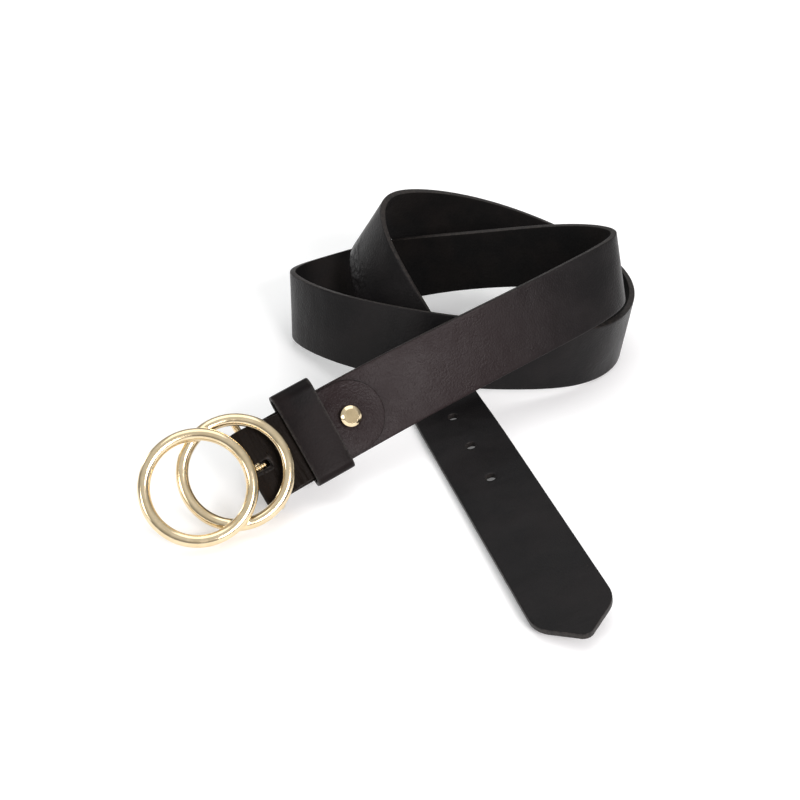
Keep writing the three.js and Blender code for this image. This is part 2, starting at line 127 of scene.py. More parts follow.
class StrapPath:
    """The way that the strap takes. s runs along it from the fold, v across it towards the upper edge and
    w out of its front, from the middle of its thickness."""

    SAMPLES_PER_ROW = 32

    def __init__(self, coil_width: float, coil_depth: float, strap_width: float) -> None:
        """Measures the path once, so that places can be found by distance.

        Args:
            coil_width: Length that the rows' x shares are of.
            coil_depth: Length that the rows' y shares are of.
            strap_width: Length that the rows' z shares are of.
        """
        rows = np.array([(r.x * coil_width, r.y * coil_depth, r.z * strap_width, math.radians(r.lean))
                         for r in COIL_ROWS])
        self.rows = np.vstack([2 * rows[0] - rows[1], rows, 2 * rows[-1] - rows[-2]])
        self.last = len(rows) - 1
        self.step = 1.0 / self.SAMPLES_PER_ROW
        self.shift = np.zeros(3)
        self.samples = np.arange(self.last * self.SAMPLES_PER_ROW + 1) * self.step
        points = self._values(self.samples)[:, :3]
        stretches = np.linalg.norm(np.diff(points, axis=0), axis=1)
        self.distances = np.concatenate([[0.0], np.cumsum(stretches)])

    def _values(self, t: np.ndarray) -> np.ndarray:
        """Returns x, y, z and lean of the cubic spline through the rows at each t."""
        row = np.clip(np.floor(t), 0, self.last - 1).astype(int)
        f = (t - row)[:, None]
        weights = ((1 - f) ** 3, 3 * f**3 - 6 * f**2 + 4, -3 * f**3 + 3 * f**2 + 3 * f + 1, f**3)
        return sum(weight * self.rows[row + i] for i, weight in enumerate(weights)) / 6

    def frames(self, s: np.ndarray) -> tuple[np.ndarray, np.ndarray, np.ndarray, np.ndarray]:
        """Finds how the strap lies at each distance.

        Args:
            s: Distances along the strap.

        Returns:
            The middle points, the directions along it, those across it and those out of its front.
        """
        inside = np.clip(s, 0.0, self.distances[-1])
        t = np.interp(inside, self.distances, self.samples)
        half = self.step / 2
        ahead = self._values(np.clip(t + half, 0, self.last))[:, :3]
        behind = self._values(np.clip(t - half, 0, self.last))[:, :3]
        along = unit(ahead - behind)
        upright = unit(np.array([0.0, 0.0, 1.0]) - along * along[:, 2:3])
        values = self._values(t)
        lean = values[:, 3:4]
        across = upright * np.cos(lean) + np.cross(along, upright) * np.sin(lean)
        out = np.cross(along, across)
        points = values[:, :3] + along * (s - inside)[:, None] + self.shift
        return points, along, across, out

    def place(self, s: np.ndarray, v: np.ndarray, w: np.ndarray) -> np.ndarray:
        """Returns the points of space for strap coordinates."""
        points, _, across, out = self.frames(s)
        return points + across * v[:, None] + out * w[:, None]

    def seat(self, s: float, v: float = 0.0, w: float = 0.0) -> Matrix:
        """Returns the matrix that takes x, y and z to along, across and out at one place."""
        _, along, across, out = (part[0] for part in self.frames(np.array([s])))
        place = self.place(*(np.array([value]) for value in (s, v, w)))[0]
        seat = Matrix.Identity(4)
        for column, direction in enumerate((along, across, out, place)):
            for row in range(3):
                seat[row][column] = direction[row]
        return seat

    def settle(self, s: float, w: float, place: Sequence[float]) -> None:
        """Shifts the path so that the middle of the strap at s and w comes to a known place."""
        now = self.place(*(np.array([value]) for value in (s, 0.0, w)))[0]
        self.shift = self.shift + np.array(place) - now


def deselect() -> None:
    """Leaves edit mode and deselects every object."""
    if bpy.context.object and bpy.context.object.mode != "OBJECT":
        bpy.ops.object.mode_set(mode="OBJECT")
    bpy.ops.object.select_all(action="DESELECT")


class Workpiece:
    """A piece while it is being modelled, from its first primitive to its finished mesh."""

    def __init__(self, name: str, add: Callable[..., Any], **sizes: Any) -> None:
        """Adds the primitive that the piece starts from, with its place in its mesh.

        Args:
            name: The piece's name.
            add: One of Blender's operators that add a primitive.
            **sizes: What that operator is given.
        """
        deselect()
        add(**sizes)
        bpy.ops.object.transform_apply(location=True, rotation=True, scale=True)
        self.obj = bpy.context.active_object
        self.obj.name = name
        self.obj.data.name = name

    @property
    def points(self) -> np.ndarray:
        """The mesh's points, one in each row."""
        flat = np.empty(len(self.obj.data.vertices) * 3, np.float32)
        self.obj.data.vertices.foreach_get("co", flat)
        return flat.reshape(-1, 3).astype(float)

    @points.setter
    def points(self, places: np.ndarray) -> None:
        self.obj.data.vertices.foreach_set("co", places.astype(np.float32).ravel())
        self.obj.data.update()

    def take(self) -> None:
        """Makes this the only selected and the active object."""
        deselect()
        bpy.context.view_layer.objects.active = self.obj
        self.obj.select_set(True)

    def edit(self, pick: Callable[[Vector], bool], mode: str, *steps: Callable[[], Any]) -> None:
        """Runs edit mode steps on what is picked by its place.

        Args:
            pick: Says of a vertex, an edge's middle or a face's middle whether it is taken.
            mode: VERT, EDGE or FACE.
            *steps: What is run, in order, with that selected.
        """
        self.take()
        bpy.ops.object.mode_set(mode="EDIT")
        bpy.ops.mesh.select_mode(type=mode)
        bpy.ops.mesh.select_all(action="DESELECT")
        shape = bmesh.from_edit_mesh(self.obj.data)
        if mode == "VERT":
            found = [vert for vert in shape.verts if pick(vert.co)]
        elif mode == "EDGE":
            found = [edge for edge in shape.edges if pick((edge.verts[0].co + edge.verts[1].co) / 2)]
        else:
            found = [face for face in shape.faces if pick(face.calc_center_median())]
        for item in found:
            item.select_set(True)
        bmesh.update_edit_mesh(self.obj.data)
        for step in steps:
            step()
        bpy.ops.object.mode_set(mode="OBJECT")

    def modify(self, kind: str, **settings: Any) -> None:
        """Adds a modifier with these settings and applies it."""
        self.take()
        modifier = self.obj.modifiers.new(kind.lower(), kind)
        for key, value in settings.items():
            setattr(modifier, key, value)
        bpy.ops.object.modifier_apply(modifier=modifier.name)

    def soften_edges(self, width: float, segments: int = 2, angle: float = SHARP_EDGE) -> None:
        """Bevels the edges that are sharper than an angle."""
        self.modify("BEVEL", width=width, segments=segments, limit_method="ANGLE", angle_limit=angle,
                    use_clamp_overlap=False)

    def subdivide_smooth(self) -> None:
        """Applies a subdivision surface."""
        self.modify("SUBSURF", levels=1, render_levels=1)

    def remember(self, name: str, values: np.ndarray) -> None:
        """Stores a number or a vector for each point, for the finish to read."""
        kind = "FLOAT" if values.ndim == 1 else "FLOAT_VECTOR"
        part = "value" if values.ndim == 1 else "vector"
        attribute = self.obj.data.attributes.new(name, kind, "POINT")
        attribute.data.foreach_set(part, values.astype(np.float32).ravel())

    def move(self, matrix: Matrix) -> None:
        """Takes the mesh to its place, with the object left at the origin."""
        self.obj.data.transform(matrix)
        self.obj.data.update()

    def shade(self, angle: float | None = None) -> None:
        """Shades the piece smooth, or smooth only where its faces meet flatter than an angle in degrees."""
        self.take()
        if angle is None:
            bpy.ops.object.shade_smooth()
        else:
            bpy.ops.object.shade_smooth_by_angle(angle=math.radians(angle))

    def join(self, *others: "Workpiece") -> None:
        """Takes other pieces' meshes into this one."""
        self.take()
        for other in others:
            other.obj.select_set(True)
        bpy.ops.object.join()

    def face_outwards(self) -> None:
        """Merges doubled points and turns all faces outwards."""
        self.edit(lambda _: True, "VERT",
                  lambda: bpy.ops.mesh.remove_doubles(threshold=TOUCHING),
                  lambda: bpy.ops.mesh.normals_make_consistent(inside=False))

    def dress(self, *materials: bpy.types.Material) -> None:
        """Gives the piece its materials in place of any that it has."""
        self.obj.data.materials.clear()
        for material in materials:
            self.obj.data.materials.append(material)

    def finish(self, body: str, slot: str, *nodes: str) -> None:
        """Lets the piece ride on a body and stand for CAD nodes, and reports it."""
        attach(self.obj, body)
        if nodes:
            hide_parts(*nodes)
        LOG.info("%s rides on %s with %d faces", self.obj.name, body, len(self.obj.data.polygons))


class Canvas:
    """Adds nodes to one shader node tree."""

    def __init__(self, tree: bpy.types.NodeTree) -> None:
        self.tree = tree

    def add(self, kind: str, given: dict[str, Any] | None = None, **settings: Any) -> bpy.types.Node:
        """Adds a node, sets its own properties and feeds the inputs that are named."""
        node = self.tree.nodes.new(kind)
        for key, value in settings.items():
            setattr(node, key, value)
        self.fill(node, given or {})
        return node

    def fill(self, node: bpy.types.Node, given: dict[str, Any]) -> None:
        """Feeds a node's inputs by their names."""
        for label, value in given.items():
            self.feed(node.inputs[label], value)

    def feed(self, socket: bpy.types.NodeSocket, value: Any) -> None:
        """Links a socket, or sets the value, of an input."""
        if isinstance(value, bpy.types.NodeSocket):
            self.tree.links.new(value, socket)
        elif value is not None:
            socket.default_value = value

    def mark(self, name: str, output: str = "Fac") -> bpy.types.NodeSocket:
        """Returns what the piece remembers under a name."""
        return self.add("ShaderNodeAttribute", attribute_name=name).outputs[output]

    def math(self, operation: str, first: Any, second: Any = None,
             clamp: bool = False) -> bpy.types.NodeSocket:
        """Returns the result of a sum on one or two numbers."""
        node = self.add("ShaderNodeMath", operation=operation, use_clamp=clamp)
        self.feed(node.inputs[0], first)
        self.feed(node.inputs[1], second)
        return node.outputs[0]

    def times(self, first: Any, second: Any) -> bpy.types.NodeSocket:
        """Returns a product."""
        return self.math("MULTIPLY", first, second)

    def plus(self, *terms: Any) -> bpy.types.NodeSocket:
        """Returns a sum."""
        total = terms[0]
        for term in terms[1:]:
            total = self.math("ADD", total, term)
        return total

    def mix(self, share: Any, first: Any, second: Any) -> bpy.types.NodeSocket:
        """Returns a colour between two others."""
        node = self.add("ShaderNodeMix", {"Factor": share}, data_type="RGBA")
        self.feed(node.inputs[6], first)
        self.feed(node.inputs[7], second)
        return node.outputs[2]

    def span(self, value: Any, low: Any, high: Any,
             to_low: Any = 0.0, to_high: Any = 1.0) -> bpy.types.NodeSocket:
        """Returns a number taken smoothly from one range to another."""
        node = self.add("ShaderNodeMapRange", interpolation_type="SMOOTHSTEP")
        for socket, given in zip(node.inputs, (value, low, high, to_low, to_high)):
            self.feed(socket, given)
        return node.outputs[0]

    def noise(self, vector: Any, scale: Any, detail: float = 3.0,
              roughness: float = 0.55) -> bpy.types.NodeSocket:
        """Returns a noise from 0 to 1."""
        given = {"Vector": vector, "Scale": scale, "Detail": detail, "Roughness": roughness}
        return self.add("ShaderNodeTexNoise", given).outputs[0]

    def stretch(self, vector: Any, scale: tuple[float, float, float]) -> bpy.types.NodeSocket:
        """Returns a vector scaled by each axis."""
        return self.add("ShaderNodeMapping", {"Vector": vector, "Scale": scale}).outputs[0]

    def bump(self, height: Any, depth: float, strength: float = 1.0) -> bpy.types.NodeSocket:
        """Returns the normal of a surface with this height."""
        node = self.add("ShaderNodeBump", {"Height": height, "Distance": depth, "Strength": strength})
        return node.outputs["Normal"]


class SocketKind(Enum):
    """What a group's socket carries."""

    NUMBER = "NodeSocketFloat"
    VECTOR = "NodeSocketVector"
    COLOUR = "NodeSocketColor"


class ShaderGroups:
    """The node groups that several materials share, each built once.

    STREAKS, DENTS, FOLDS, BLOBS and RAYS_OUTWARDS are the scales of patterns in metres. Each HEIGHT is
    a multiple of the finish's depth.
    """

    CELL_HEIGHT = -0.8
    PORE_HEIGHT = 0.7
    PORES_PER_CELL = 1.7
    STREAKS = 800.0
    DENTS = 90.0
    DENT_HEIGHT = 4.5
    RAYS_ROUND_STUD = 7.0
    RAYS_OUTWARDS = 120.0
    RAY_HEIGHT = 2.6
    FOLDS = 520.0
    FOLD_HEIGHT = 10.0
    BLOBS = 300.0
    BLOB_HEIGHT = 10.0

    def __init__(self) -> None:
        self.grain = self._grain()
        self.creases = self._creases()
        self.drift = self._drift()

    @staticmethod
    def _start(name: str, inputs: dict[str, SocketKind],
               outputs: dict[str, SocketKind]) -> tuple[Canvas, bpy.types.NodeOutputs, bpy.types.Node]:
        """Makes an empty group with named inputs and outputs."""
        tree = bpy.data.node_groups.new(name, "ShaderNodeTree")
        for label, kind in inputs.items():
            tree.interface.new_socket(label, in_out="INPUT", socket_type=kind.value)
        for label, kind in outputs.items():
            tree.interface.new_socket(label, in_out="OUTPUT", socket_type=kind.value)
        canvas = Canvas(tree)
        return canvas, canvas.add("NodeGroupInput").outputs, canvas.add("NodeGroupOutput")

    def _grain(self) -> bpy.types.NodeTree:
        """Leather's grain: small cells, finer pores, soft streaks and slow dents, as a height."""
        canvas, given, made = self._start(
            "leather_grain",
            {"Plan": SocketKind.VECTOR, "Cells": SocketKind.NUMBER, "Streaks": SocketKind.NUMBER},
            {"Height": SocketKind.NUMBER, "Pores": SocketKind.NUMBER},
        )
        plan = given["Plan"]
        cells = canvas.add("ShaderNodeTexVoronoi", feature="SMOOTH_F1")
        canvas.fill(cells, {"Vector": plan, "Scale": given["Cells"], "Smoothness": 0.35})
        pores = canvas.noise(plan, canvas.times(given["Cells"], self.PORES_PER_CELL), 4.0, 0.6)
        streaks = canvas.noise(canvas.stretch(plan, (0.25, 1.0, 1.0)), self.STREAKS)
        dents = canvas.noise(canvas.stretch(plan, (1.0, 0.6, 1.0)), self.DENTS, 1.5)
        height = canvas.plus(
            canvas.times(cells.outputs["Distance"], self.CELL_HEIGHT), canvas.times(pores, self.PORE_HEIGHT),
            canvas.times(streaks, given["Streaks"]), canvas.times(dents, self.DENT_HEIGHT))
        canvas.fill(made, {"Height": height, "Pores": canvas.span(pores, 0.35, 0.7)})
        return canvas.tree

    def _creases(self) -> bpy.types.NodeTree:
        """Creases that run out from the stud, creases along the bar, and the dents of a rumpled stretch."""
        canvas, given, made = self._start(
            "leather_creases",
            {"Plan": SocketKind.VECTOR, "Stud": SocketKind.NUMBER, "Bend": SocketKind.NUMBER,
             "Rumple": SocketKind.NUMBER},
            {"Height": SocketKind.NUMBER},
        )
        plan = given["Plan"]
        parts = canvas.add("ShaderNodeSeparateXYZ", {"Vector": plan}).outputs
        along = canvas.math("SUBTRACT", parts["X"], given["Stud"])
        across = parts["Y"]
        reach = canvas.math("SQRT", canvas.plus(canvas.times(along, along), canvas.times(across, across)))
        turned = [canvas.times(canvas.math("DIVIDE", part, reach), self.RAYS_ROUND_STUD)
                  for part in (along, across)]
        outwards = canvas.times(reach, self.RAYS_OUTWARDS)
        round_stud = canvas.add("ShaderNodeCombineXYZ", {"X": turned[0], "Y": turned[1], "Z": outwards})
        near = canvas.times(canvas.span(reach, 4.2 * MM, 5.6 * MM), canvas.span(reach, 14 * MM, 7 * MM))
        rays = canvas.times(canvas.noise(round_stud.outputs[0], 1.6), near)
        folds = canvas.noise(canvas.stretch(plan, (1.0, 0.12, 1.0)), self.FOLDS, 2.5)
        blobs = canvas.noise(canvas.stretch(plan, (0.7, 1.0, 1.0)), self.BLOBS, 1.5)
        height = canvas.plus(
            canvas.times(rays, self.RAY_HEIGHT),
            canvas.times(canvas.times(folds, given["Bend"]), self.FOLD_HEIGHT),
            canvas.times(canvas.times(blobs, given["Rumple"]), self.BLOB_HEIGHT))
        canvas.fill(made, {"Height": height})
        return canvas.tree

    def _drift(self) -> bpy.types.NodeTree:
        """A slow change between two colours, as hand-finished leather and plated metal show."""
        canvas, given, made = self._start(
            "colour_drift",
            {"Vector": SocketKind.VECTOR, "Scale": SocketKind.NUMBER, "First": SocketKind.COLOUR,
             "Second": SocketKind.COLOUR},
            {"Colour": SocketKind.COLOUR, "Share": SocketKind.NUMBER},
        )
        share = canvas.span(canvas.noise(given["Vector"], given["Scale"], 5.0, 0.6), 0.36, 0.66)
        mixed = canvas.mix(share, given["First"], given["Second"])
        canvas.fill(made, {"Colour": mixed, "Share": share})
        return canvas.tree


def colour(red: float, green: float, blue: float) -> Rgba:
    """Returns an opaque colour."""
    return (red, green, blue, 1.0)


@dataclass(frozen=True)
class LeatherFinish:
    """Finish of one side of a piece of leather."""

    name: str
    base: Rgba
    drift: Rgba
    # Lighter colour on the rims: wear on the cut edges, and a painted highlight on the lip of the buckle's
    # slot.
    worn_and_lit: Rgba
    roughness_low: float
    roughness_high: float
    specular: float
    cells: float = 1100.0
    streaks: float = 0.35
    depth: float = 0.11 * MM
    drift_scale: float = 45.0
    rim_breakup: float = 900.0
    # Warmer, lighter colour near the buckle: partly browner leather from handling, partly a painted warm
    # sheen where the highlight lies on the flap and the buckle run.
    handling_and_sheen: Rgba | None = None
    stud_u: float | None = None

    def build(self, groups: ShaderGroups) -> bpy.types.Material:
        """Makes the material.

        Args:
            groups: The shared node groups.

        Returns:
            The material, which reads what the piece remembers: its plan, its rim and its other marks.
        """
        material = bpy.data.materials.new(self.name)
        material.use_nodes = True
        canvas = Canvas(material.node_tree)
        shader = material.node_tree.nodes["Principled BSDF"]
        plan = canvas.mark(PLAN, "Vector")
        grain = canvas.add("ShaderNodeGroup", node_tree=groups.grain)
        canvas.fill(grain, {"Plan": plan, "Cells": self.cells, "Streaks": self.streaks})
        drift = canvas.add("ShaderNodeGroup", node_tree=groups.drift)
        canvas.fill(drift, {"Vector": plan, "Scale": self.drift_scale, "First": self.base,
                            "Second": self.drift})
        leather = drift.outputs["Colour"]
        # Near the buckle the colour turns warmer and lighter: partly handled leather, partly a painted warm
        # sheen.
        if self.handling_and_sheen:
            leather = canvas.mix(canvas.mark(SHEEN_AND_HANDLING), leather, self.handling_and_sheen)
        # Rims turn lighter, broken up by noise: worn cut edges, and a painted highlight on the slot's lip.
        rim_breakup = canvas.span(canvas.noise(plan, self.rim_breakup, 2.0), 0.3, 0.75)
        wear_and_highlight = canvas.math("MULTIPLY", canvas.span(canvas.mark(RIM), 0.25, 0.9), rim_breakup, clamp=True)
        rough = canvas.times(canvas.plus(grain.outputs["Pores"], drift.outputs["Share"]), 0.5)
        height = grain.outputs["Height"]
        if self.stud_u is not None:
            creases = canvas.add("ShaderNodeGroup", node_tree=groups.creases)
            canvas.fill(creases, {"Plan": plan, "Stud": self.stud_u, "Bend": canvas.mark(BEND),
                                  "Rumple": canvas.mark(RUMPLE)})
            height = canvas.plus(height, creases.outputs["Height"])
        canvas.fill(shader, {
            "Base Color": canvas.mix(wear_and_highlight, leather, self.worn_and_lit),
            "Roughness": canvas.span(rough, 0.0, 1.0, self.roughness_low, self.roughness_high),
            "Normal": canvas.bump(height, self.depth),
            "Specular IOR Level": self.specular,
        })
        return material


@dataclass(frozen=True)
class MetalFinish:
    """Finish of plated metal."""

    name: str
    base: Rgba
    deep: Rgba
    roughness_low: float
    roughness_high: float
    drift_scale: float = 120.0
    haze: float = 260.0
    waves: float = 110.0
    wave_depth: float = 0.05 * MM
    wave_strength: float = 0.5

    def build(self, groups: ShaderGroups) -> bpy.types.Material:
        """Makes the material.

        Args:
            groups: The shared node groups.

        Returns:
            The material, which reads object coordinates.
        """
        material = bpy.data.materials.new(self.name)
        material.use_nodes = True
        canvas = Canvas(material.node_tree)
        shader = material.node_tree.nodes["Principled BSDF"]
        place = canvas.add("ShaderNodeTexCoord").outputs["Object"]
        drift = canvas.add("ShaderNodeGroup", node_tree=groups.drift)
        canvas.fill(drift, {"Vector": place, "Scale": self.drift_scale, "First": self.base,
                            "Second": self.deep})
        haze = canvas.noise(place, self.haze, 4.0)
        waves = canvas.noise(place, self.waves, 1.0)
        canvas.fill(shader, {
            "Base Color": drift.outputs["Colour"],
            "Roughness": canvas.span(haze, 0.3, 0.7, self.roughness_low, self.roughness_high),
            "Normal": canvas.bump(waves, self.wave_depth, self.wave_strength),
            "Metallic": 1.0,
        })
        return material


@dataclass
class BeltSizes:
    """Sizes that more than one piece uses."""

    strap_width: float = 32 * MM
    strap_thickness: float = 2.8 * MM
    strap_length: float = 1010.5 * MM
    coil_width: float = 150 * MM
    coil_depth: float = 96 * MM
    bar_diameter: float = 3 * MM
    bar_room: float = 0.3 * MM
    prong_v: float = -0.9 * MM
    fold_thickness: float = 2.0 * MM
    flap_thickness: float = 1.8 * MM
    flap_inset: float = 1.0 * MM
    layer_gap: float = 0.3 * MM
    stud_to_fold: float = 46.9 * MM
    keeper_to_fold: float = 22.1 * MM
    keeper_width: float = 17 * MM

    @property
    def half_width(self) -> float:
        """Half of the strap's width."""
        return self.strap_width / 2

    @property
    def half_thickness(self) -> float:
        """Half of the strap's thickness."""
        return self.strap_thickness / 2

    @property
    def bar_radius(self) -> float:
        """Radius of the buckle's bar."""
        return self.bar_diameter / 2

    @property
    def bar_w(self) -> float:
        """Height of the bar's middle over the middle of the strap's thickness."""
        return self.bar_radius + self.bar_room + self.half_thickness

    @property
    def bar_s(self) -> float:
        """Distance of the bar's middle from the fold line."""
        return self.bar_w + self.half_thickness

    @property
    def flap_w(self) -> float:
        """Height of the middle of the flap's thickness."""
        return self.half_thickness + self.layer_gap + self.flap_thickness / 2

    @property
    def flap_face_w(self) -> float:
        """Height of the flap's face."""
        return self.flap_w + self.flap_thickness / 2

    @property
    def fold_face_w(self) -> float:
        """Height of the fold's face."""
        return self.bar_w + self.bar_radius + self.bar_room + self.fold_thickness


class StrapLay:
    """How the strap's flat length lies: the flap, the rise to the bar, the fold round it and the body."""

    STEPS = 48

    def __init__(self, sizes: BeltSizes) -> None:
        """Works out the lay as a table against the flat length.

        Args:
            sizes: The belt's sizes.
        """
        flap_round = sizes.half_width - sizes.flap_inset
        share = np.linspace(0, 1, self.STEPS)
        ease = (1 - np.cos(np.pi * share)) / 2
        top = sizes.bar_w + sizes.bar_radius + sizes.bar_room + sizes.fold_thickness / 2
        flat_s = np.linspace(sizes.stud_to_fold + flap_round, sizes.keeper_to_fold, self.STEPS)
        rise = sizes.keeper_to_fold - sizes.bar_s
        slope = np.arctan((top - sizes.flap_w) * np.pi * np.sin(np.pi * share) / (2 * rise))
        turn = np.pi / 2 + np.pi * share
        full = sizes.strap_thickness
        thick = np.interp(share, [0, 0.5, 1], [sizes.fold_thickness, full, full])
        radius = sizes.bar_radius + sizes.bar_room + thick / 2
        one = np.ones(self.STEPS)
        stretches = [
            (flat_s, one * sizes.flap_w, -one, 0 * one, one * sizes.flap_thickness, one * flap_round),
            (sizes.keeper_to_fold - rise * share, sizes.flap_w + (top - sizes.flap_w) * ease, -np.cos(slope),
             np.sin(slope), sizes.flap_thickness + (sizes.fold_thickness - sizes.flap_thickness) * ease,
             flap_round + (sizes.half_width - flap_round) * ease),
            (sizes.bar_s + radius * np.cos(turn), sizes.bar_w + radius * np.sin(turn), -np.sin(turn),
             np.cos(turn), thick, one * sizes.half_width),
            (np.array([sizes.bar_s + MM, sizes.strap_length]), np.zeros(2), np.ones(2), np.zeros(2),
             np.full(2, sizes.strap_thickness), np.full(2, sizes.half_width)),
        ]
        columns = [np.concatenate(parts) for parts in zip(*stretches)]
        steps = np.hypot(np.diff(columns[0]), np.diff(columns[1]))
        keep = np.concatenate([[True], steps > 1e-9])
        self.s, self.w, self.ds, self.dw, self.thickness, self.half = (column[keep] for column in columns)
        lengths = np.hypot(np.diff(self.s), np.diff(self.w))
        self.u = np.concatenate([[0.0], np.cumsum(lengths)])
        self.flap_round = flap_round
        self.length = float(self.u[-1])
        self.rise_start = float(self.u[self.STEPS - 1])
        self.fold_start = float(self.u[2 * self.STEPS - 2])
        self.body_start = float(self.u[3 * self.STEPS - 3])

    def body_u(self, s: float) -> float:
        """Returns the flat length at a distance along the strap's body."""
        return self.length - (float(self.s[-1]) - s)

    def at(self, u: np.ndarray) -> tuple[np.ndarray, ...]:
        """Returns s, w, the lay's direction in s and in w, and the thickness at each flat length."""
        columns = (self.s, self.w, self.ds, self.dw, self.thickness)
        return tuple(np.interp(u, self.u, column) for column in columns)

    def half_at(self, u: np.ndarray) -> np.ndarray:
        """Returns the strap's half width at each flat length."""
        return np.interp(u, self.u, self.half)


@dataclass
class Strap:
    """The strap with its flap, fold, slot, punched holes and pointed tail."""

    sizes: BeltSizes
    path: StrapPath
    lay: StrapLay
    rows: int = 16
    flap_cell: float = 1.35 * MM
    fold_cell: float = 0.75 * MM
    body_cell: float = 2.4 * MM
    edge_bevel: float = 0.38 * MM
    flap_edge_thickness: float = 1.1 * MM
    flap_skive: float = 9.0 * MM
    # The warmer tone near the buckle fades out between these two flat lengths: partly handled leather, partly
    # a painted sheen that ends where the buckle run's highlight fades.
    handling_and_sheen_to: float = 245 * MM
    handling_and_sheen_fully: float = 150 * MM
    rumple_s: float = 768 * MM
    rumple_reach: float = 30 * MM
    tip_slant: float = 53.0
    tip_radius: float = 4 * MM
    shoulder_radius: float = 10 * MM
    hole_diameter: float = 4.5 * MM
    hole_count: int = 5
    hole_pitch: float = 23 * MM
    last_hole_to_tip: float = 93.5 * MM
    slot_width: float = 3.7 * MM
    slot_depth: float = 9.4 * MM
    slot_depth_behind: float = 7.5 * MM
    slot_lip: float = 1.0 * MM
    fold_leather_from: float = 3 * MM
    bend_from: float = 4 * MM
    bend_fully: float = 3 * MM
    bend_to: float = 16 * MM
    bend_fully_to: float = 8 * MM

    def tip_outline(self) -> tuple[np.ndarray, np.ndarray]:
        """Returns distances from the end, and half widths there, from the shoulder to the round end."""
        slant = math.radians(self.tip_slant)
        half = self.sizes.half_width
        round_end = math.pi / 2 - slant
        end_back = self.tip_radius * (1 - math.cos(round_end))
        end_half = self.tip_radius * math.sin(round_end)
        shoulder_half = half - self.shoulder_radius * (1 - math.cos(slant))
        slant_end = end_back + (shoulder_half - end_half) / math.tan(slant)
        shoulder_back = slant_end + self.shoulder_radius * math.sin(slant)
        angles = np.linspace(0, slant, 24)
        back = np.append(shoulder_back - self.shoulder_radius * np.sin(angles), end_back)
        halves = np.append(half - self.shoulder_radius * (1 - np.cos(angles)), end_half)
        return back, halves

    def knots(self, tip_back: float) -> np.ndarray:
        """Returns the flat lengths of the columns, fine in the fold and in step with the holes."""
        lay = self.lay
        first_hole = lay.length - self.last_hole_to_tip - (self.hole_count - 1) * self.hole_pitch
        last_hole = lay.length - self.last_hole_to_tip
        stretches = [
            (0.0, lay.flap_round, self.flap_cell),
            (lay.flap_round, lay.fold_start - self.slot_depth, self.flap_cell),
            (lay.fold_start - self.slot_depth, lay.body_start + self.slot_depth, self.fold_cell),
            (lay.body_start + self.slot_depth, first_hole - self.hole_pitch, self.body_cell),
            (first_hole - self.hole_pitch, last_hole + self.hole_pitch, self.hole_pitch / 10),
            (last_hole + self.hole_pitch, lay.length - tip_back, self.body_cell),
            (lay.length - tip_back, lay.length, tip_back / 12),
        ]
        parts = [np.linspace(start, end, max(2, round((end - start) / cell) + 1))[:-1]
                 for start, end, cell in stretches]
        return np.concatenate([*parts, [lay.length]])

    def plan_sheet(self) -> Workpiece:
        """Makes the flat sheet with its round flap end and its pointed tail."""
        back, halves = self.tip_outline()
        tip_back = float(back[0])
        knots = self.knots(tip_back)
        columns = len(knots) - 1
        sheet = Workpiece("strap_leather", bpy.ops.mesh.primitive_grid_add,
                          x_subdivisions=columns, y_subdivisions=self.rows, size=1.0)
        points = sheet.points
        column = np.rint((points[:, 0] + 0.5) * columns).astype(int)
        b = points[:, 1] * 2
        u = knots[column]
        v = b * self.lay.half_at(u)
        radius = self.lay.flap_round
        in_flap = u < radius
        turn = np.pi / 2 - np.pi / 4 * (1 - u / radius)
        side, middle = radius * np.cos(turn), radius - u
        arch = (np.sqrt(1 - (b * np.sin(turn)) ** 2) - np.cos(turn)) / (1 - np.cos(turn))
        u = np.where(in_flap, radius - (side + (middle - side) * arch), u)
        v = np.where(in_flap, b * radius * np.sin(turn), v)
        share = np.clip((knots[column] - (self.lay.length - tip_back)) / tip_back, 0, 1)
        run = np.concatenate([[0.0], np.cumsum(np.hypot(np.diff(back), np.diff(halves)))])
        run /= run[-1]
        side, middle = np.interp(share, run, back), tip_back * (1 - share)
        u = np.where(share > 0, self.lay.length - (side + (middle - side) * (1 - b * b)), u)
        v = np.where(share > 0, b * np.interp(share, run, halves), v)
        sheet.points = np.column_stack([u, v, np.zeros(len(u))])
        return sheet

    def cut(self, sheet: Workpiece, middle: float, length: float, width: float, across: float = 0.0) -> None:
        """Opens a round-ended hole in the flat sheet.

        Args:
            sheet: The flat sheet.
            middle: Flat length of the hole's middle.
            length: The hole's length along the strap.
            width: The hole's width across the strap.
            across: How far the hole lies from the strap's middle line.
        """
        straight = (length - width) / 2
        radius = width / 2
        cell = self.sizes.strap_width / self.rows
        reach = math.ceil(radius / cell) * cell
        inset = 0.5 * MM
        along = straight + reach

        def inside(place: Vector) -> bool:
            """Says whether a place lies in the block that the hole takes."""
            return abs(place.x - middle) < along and abs(place.y) < reach

        sheet.edit(inside, "FACE", lambda: bpy.ops.mesh.inset(thickness=inset),
                   lambda: bpy.ops.mesh.delete(type="FACE"))
        points = sheet.points
        uses = Counter(key for face in sheet.obj.data.polygons for key in face.edge_keys)
        open_edge = {vertex for key, count in uses.items() if count == 1 for vertex in key}
        near = [i for i in open_edge
                if abs(points[i, 0] - middle) < along + MM and abs(points[i, 1]) < reach + MM]
        for i in near:
            core = middle + min(max(points[i, 0] - middle, -straight), straight)
            offset = points[i, :2] - np.array([core, 0.0])
            points[i, :2] = np.array([core, across]) + radius * offset / max(np.linalg.norm(offset), 1e-9)
        sheet.points = points

